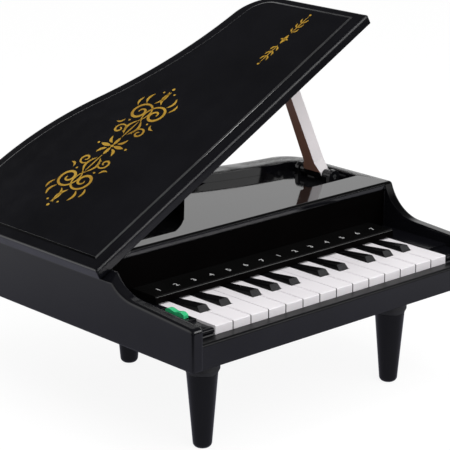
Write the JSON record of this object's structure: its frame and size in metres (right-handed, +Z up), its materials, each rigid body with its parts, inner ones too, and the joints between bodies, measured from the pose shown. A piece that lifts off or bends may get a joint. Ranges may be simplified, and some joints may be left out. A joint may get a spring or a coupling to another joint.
{
  "type": "toy piano",
  "caption": "Toy grand piano with a hollow moulded case on tapered legs, sprung piano keys, a slide switch and a hinged lid that a folding prop holds open.",
  "frame": {"origin": "under the middle of the box, on the surface that the three feet stand on", "axes": "+X to the player's right along the keys, +Y from the keys to the tail, +Z up"},
  "size_m": [0.2506, 0.2382, 0.2324],
  "materials": {
    "black_gloss": "polished black moulding",
    "lid_gloss": "polished black moulding with gold print",
    "black_satin": "satin black moulding with white key marks",
    "black_matte": "fine spark texture",
    "key_white": "smooth white moulding",
    "key_black": "smooth black moulding",
    "switch_green": "smooth green moulding",
    "prop_two_tone": "pale faces with brown edges",
    "steel": "drawn wire",
    "rubber_grey": "moulded silicone",
    "board": "coated board",
    "speaker_frame": "pressed frame with paper cone"
  },
  "bodies": {
    "piano_case": {"case": "black_gloss", "bottom_cover": "black_matte", "deck_panel": "black_gloss", "front_rail": "black_gloss", "key_bed": "black_matte", "key_block_left": "black_gloss", "key_block_right": "black_gloss", "label_rail": "black_satin", "key_axle": "steel", "contact_board": "board", "contact_strip": "rubber_grey", "switch_body": "black_matte", "hinge_pin_front": "steel", "hinge_pin_rear": "steel", "prop_pin": "steel", "speaker": "speaker_frame", "battery_door": "black_matte", "battery_door_screw": "steel", "cover_screws": "steel", "leg_front_left": "black_gloss", "leg_front_right": "black_gloss", "leg_rear": "black_gloss"},
    "lid": {"lid": "lid_gloss"},
    "lid_prop": {"lid_prop": "prop_two_tone"},
    "switch_knob": {"switch_knob": "switch_green"},
    "white_key_01": {"white_key_01": "key_white"},
    "white_key_02": {"white_key_02": "key_white"},
    "white_key_03": {"white_key_03": "key_white"},
    "black_key_01": {"black_key_01": "key_black"},
    "black_key_02": {"black_key_02": "key_black"},
    "white_key_04": {"white_key_04": "key_white"},
    "white_key_05": {"white_key_05": "key_white"},
    "white_key_06": {"white_key_06": "key_white"},
    "white_key_07": {"white_key_07": "key_white"},
    "black_key_03": {"black_key_03": "key_black"},
    "black_key_04": {"black_key_04": "key_black"},
    "black_key_05": {"black_key_05": "key_black"},
    "white_key_08": {"white_key_08": "key_white"},
    "white_key_09": {"white_key_09": "key_white"},
    "white_key_10": {"white_key_10": "key_white"},
    "black_key_06": {"black_key_06": "key_black"},
    "black_key_07": {"black_key_07": "key_black"},
    "white_key_11": {"white_key_11": "key_white"},
    "white_key_12": {"white_key_12": "key_white"},
    "white_key_13": {"white_key_13": "key_white"},
    "white_key_14": {"white_key_14": "key_white"},
    "black_key_08": {"black_key_08": "key_black"},
    "black_key_09": {"black_key_09": "key_black"},
    "black_key_10": {"black_key_10": "key_black"}
  },
  "joints": [
    {"name": "lid_hinge", "type": "hinge", "parent": "piano_case", "child": "lid", "pos_m": [-0.09777, 0.01346, 0.1157], "axis": [0, -1, 0], "range_deg": [0, 3.2]},
    {"name": "prop_hinge", "type": "hinge", "parent": "piano_case", "child": "lid_prop", "pos_m": [0.10823, 0.01346, 0.1166], "axis": [0, -1, 0], "range_deg": [0, 66]},
    {"name": "switch_slide", "type": "slide", "parent": "piano_case", "child": "switch_knob", "axis": [0, 1, 0], "range_m": [-0.004, 0.004]},
    {"name": "white_key_01_press", "type": "hinge", "parent": "piano_case", "child": "white_key_01", "pos_m": [-0.09127, -0.04734, 0.0843], "axis": [1, 0, 0], "range_deg": [0, 3.2], "stiffness_Nm_per_rad": 0.25, "springref_deg": -3.44},
    {"name": "white_key_02_press", "type": "hinge", "parent": "piano_case", "child": "white_key_02", "pos_m": [-0.07447, -0.04734, 0.0843], "axis": [1, 0, 0], "range_deg": [0, 3.2], "stiffness_Nm_per_rad": 0.25, "springref_deg": -3.44},
    {"name": "white_key_03_press", "type": "hinge", "parent": "piano_case", "child": "white_key_03", "pos_m": [-0.05767, -0.04734, 0.0843], "axis": [1, 0, 0], "range_deg": [0, 3.2], "stiffness_Nm_per_rad": 0.25, "springref_deg": -3.44},
    {"name": "black_key_01_press", "type": "hinge", "parent": "piano_case", "child": "black_key_01", "pos_m": [-0.08287, -0.04734, 0.0843], "axis": [1, 0, 0], "range_deg": [0, 3.6], "stiffness_Nm_per_rad": 0.25, "springref_deg": -3.44},
    {"name": "black_key_02_press", "type": "hinge", "parent": "piano_case", "child": "black_key_02", "pos_m": [-0.06607, -0.04734, 0.0843], "axis": [1, 0, 0], "range_deg": [0, 3.6], "stiffness_Nm_per_rad": 0.25, "springref_deg": -3.44},
    {"name": "white_key_04_press", "type": "hinge", "parent": "piano_case", "child": "white_key_04", "pos_m": [-0.04947, -0.04734, 0.0843], "axis": [1, 0, 0], "range_deg": [0, 3.2], "stiffness_Nm_per_rad": 0.25, "springref_deg": -3.44},
    {"name": "white_key_05_press", "type": "hinge", "parent": "piano_case", "child": "white_key_05", "pos_m": [-0.03347, -0.04734, 0.0843], "axis": [1, 0, 0], "range_deg": [0, 3.2], "stiffness_Nm_per_rad": 0.25, "springref_deg": -3.44},
    {"name": "white_key_06_press", "type": "hinge", "parent": "piano_case", "child": "white_key_06", "pos_m": [-0.01747, -0.04734, 0.0843], "axis": [1, 0, 0], "range_deg": [0, 3.2], "stiffness_Nm_per_rad": 0.25, "springref_deg": -3.44},
    {"name": "white_key_07_press", "type": "hinge", "parent": "piano_case", "child": "white_key_07", "pos_m": [-0.00147, -0.04734, 0.0843], "axis": [1, 0, 0], "range_deg": [0, 3.2], "stiffness_Nm_per_rad": 0.25, "springref_deg": -3.44},
    {"name": "black_key_03_press", "type": "hinge", "parent": "piano_case", "child": "black_key_03", "pos_m": [-0.04147, -0.04734, 0.0843], "axis": [1, 0, 0], "range_deg": [0, 3.6], "stiffness_Nm_per_rad": 0.25, "springref_deg": -3.44},
    {"name": "black_key_04_press", "type": "hinge", "parent": "piano_case", "child": "black_key_04", "pos_m": [-0.02547, -0.04734, 0.0843], "axis": [1, 0, 0], "range_deg": [0, 3.6], "stiffness_Nm_per_rad": 0.25, "springref_deg": -3.44},
    {"name": "black_key_05_press", "type": "hinge", "parent": "piano_case", "child": "black_key_05", "pos_m": [-0.00947, -0.04734, 0.0843], "axis": [1, 0, 0], "range_deg": [0, 3.6], "stiffness_Nm_per_rad": 0.25, "springref_deg": -3.44},
    {"name": "white_key_08_press", "type": "hinge", "parent": "piano_case", "child": "white_key_08", "pos_m": [0.00673, -0.04734, 0.0843], "axis": [1, 0, 0], "range_deg": [0, 3.2], "stiffness_Nm_per_rad": 0.25, "springref_deg": -3.44},
    {"name": "white_key_09_press", "type": "hinge", "parent": "piano_case", "child": "white_key_09", "pos_m": [0.02353, -0.04734, 0.0843], "axis": [1, 0, 0], "range_deg": [0, 3.2], "stiffness_Nm_per_rad": 0.25, "springref_deg": -3.44},
    {"name": "white_key_10_press", "type": "hinge", "parent": "piano_case", "child": "white_key_10", "pos_m": [0.04033, -0.04734, 0.0843], "axis": [1, 0, 0], "range_deg": [0, 3.2], "stiffness_Nm_per_rad": 0.25, "springref_deg": -3.44},
    {"name": "black_key_06_press", "type": "hinge", "parent": "piano_case", "child": "black_key_06", "pos_m": [0.01513, -0.04734, 0.0843], "axis": [1, 0, 0], "range_deg": [0, 3.6], "stiffness_Nm_per_rad": 0.25, "springref_deg": -3.44},
    {"name": "black_key_07_press", "type": "hinge", "parent": "piano_case", "child": "black_key_07", "pos_m": [0.03193, -0.04734, 0.0843], "axis": [1, 0, 0], "range_deg": [0, 3.6], "stiffness_Nm_per_rad": 0.25, "springref_deg": -3.44},
    {"name": "white_key_11_press", "type": "hinge", "parent": "piano_case", "child": "white_key_11", "pos_m": [0.04853, -0.04734, 0.0843], "axis": [1, 0, 0], "range_deg": [0, 3.2], "stiffness_Nm_per_rad": 0.25, "springref_deg": -3.44},
    {"name": "white_key_12_press", "type": "hinge", "parent": "piano_case", "child": "white_key_12", "pos_m": [0.06453, -0.04734, 0.0843], "axis": [1, 0, 0], "range_deg": [0, 3.2], "stiffness_Nm_per_rad": 0.25, "springref_deg": -3.44},
    {"name": "white_key_13_press", "type": "hinge", "parent": "piano_case", "child": "white_key_13", "pos_m": [0.08053, -0.04734, 0.0843], "axis": [1, 0, 0], "range_deg": [0, 3.2], "stiffness_Nm_per_rad": 0.25, "springref_deg": -3.44},
    {"name": "white_key_14_press", "type": "hinge", "parent": "piano_case", "child": "white_key_14", "pos_m": [0.09653, -0.04734, 0.0843], "axis": [1, 0, 0], "range_deg": [0, 3.2], "stiffness_Nm_per_rad": 0.25, "springref_deg": -3.44},
    {"name": "black_key_08_press", "type": "hinge", "parent": "piano_case", "child": "black_key_08", "pos_m": [0.05653, -0.04734, 0.0843], "axis": [1, 0, 0], "range_deg": [0, 3.6], "stiffness_Nm_per_rad": 0.25, "springref_deg": -3.44},
    {"name": "black_key_09_press", "type": "hinge", "parent": "piano_case", "child": "black_key_09", "pos_m": [0.07253, -0.04734, 0.0843], "axis": [1, 0, 0], "range_deg": [0, 3.6], "stiffness_Nm_per_rad": 0.25, "springref_deg": -3.44},
    {"name": "black_key_10_press", "type": "hinge", "parent": "piano_case", "child": "black_key_10", "pos_m": [0.08853, -0.04734, 0.0843], "axis": [1, 0, 0], "range_deg": [0, 3.6], "stiffness_Nm_per_rad": 0.25, "springref_deg": -3.44}
  ]
}
